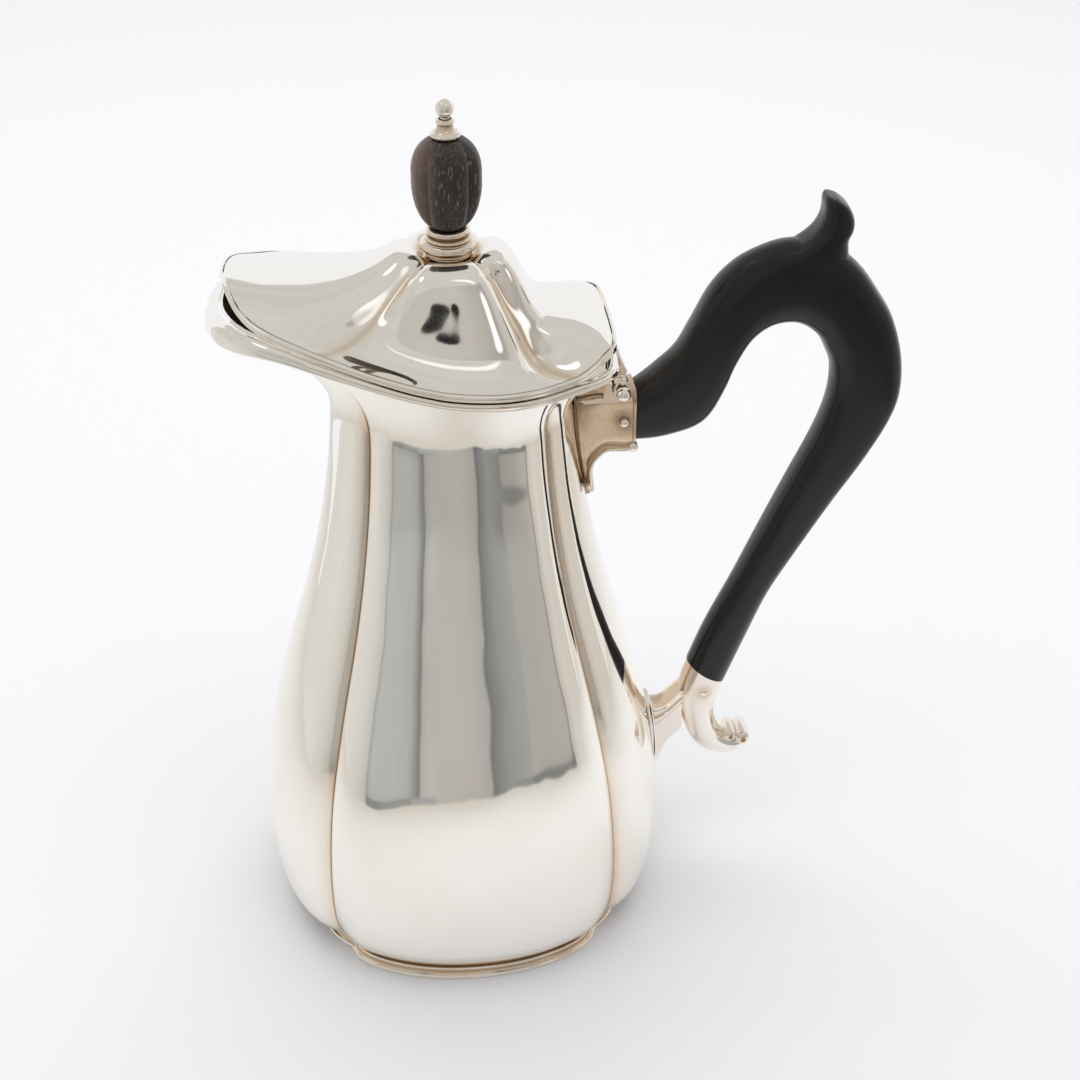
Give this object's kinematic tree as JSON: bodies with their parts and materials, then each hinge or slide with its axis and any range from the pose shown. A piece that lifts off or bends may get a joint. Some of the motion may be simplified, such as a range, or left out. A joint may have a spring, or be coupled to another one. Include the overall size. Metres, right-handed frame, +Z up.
{
  "type": "hot water ewer",
  "caption": "Tall lobed silver ewer with a hooded pouring lip, hinged domed lid with a wooden finial, and an ebony loop handle held in silver sockets.",
  "frame": {"origin": "on the surface it stands on, below the middle of its outline in plan", "axes": "+Z up, -X towards the spout, +X towards the handle, +Y to the side away from the camera of the picture"},
  "size_m": [0.176, 0.1102, 0.2351],
  "materials": {
    "base_disc": "polished silver",
    "body_rim": "polished silver",
    "body_shell": "polished silver",
    "far_knuckle": "polished silver",
    "finial_ball": "polished silver",
    "finial_barrel": "stained hardwood, worn satin",
    "finial_cap": "polished silver",
    "finial_collar": "polished silver",
    "finial_nut": "polished silver",
    "finial_rod": "polished silver",
    "finial_washer": "polished silver",
    "foot_ring": "polished silver",
    "handle": "polished ebony",
    "hinge_pin": "polished silver",
    "hinge_pin_cap": "polished silver",
    "hinge_stand": "polished silver",
    "lid_knuckle": "polished silver",
    "lid_leaf": "polished silver",
    "lid_rim": "polished silver",
    "lid_shell": "polished silver",
    "lower_bracket": "polished silver",
    "lower_plate": "polished silver",
    "lower_socket": "polished silver",
    "lower_socket_pin": "polished silver",
    "near_knuckle": "polished silver",
    "scroll_knob": "polished silver",
    "socket_strap": "polished silver",
    "upper_plate": "polished silver",
    "upper_socket": "polished silver",
    "upper_socket_pin": "polished silver"
  },
  "bodies": {
    "jug": {"base_disc": "base_disc", "body_rim": "body_rim", "body_shell": "body_shell", "far_knuckle": "far_knuckle", "foot_ring": "foot_ring", "handle": "handle", "hinge_pin": "hinge_pin", "hinge_pin_cap": "hinge_pin_cap", "hinge_stand": "hinge_stand", "lower_bracket": "lower_bracket", "lower_plate": "lower_plate", "lower_socket": "lower_socket", "lower_socket_pin": "lower_socket_pin", "near_knuckle": "near_knuckle", "scroll_knob": "scroll_knob", "socket_strap": "socket_strap", "upper_plate": "upper_plate", "upper_socket": "upper_socket", "upper_socket_pin": "upper_socket_pin"},
    "lid": {"lid_shell": "lid_shell", "lid_rim": "lid_rim", "lid_leaf": "lid_leaf", "lid_knuckle": "lid_knuckle", "finial_collar": "finial_collar", "finial_barrel": "finial_barrel", "finial_cap": "finial_cap", "finial_ball": "finial_ball", "finial_rod": "finial_rod", "finial_washer": "finial_washer", "finial_nut": "finial_nut"}
  },
  "joints": [
    {"name": "lid_hinge", "type": "hinge", "parent": "jug", "child": "lid", "pos_m": [0.01391, 0, 0.1592], "axis": [0, 1, 0], "range_deg": [0, 60]}
  ]
}
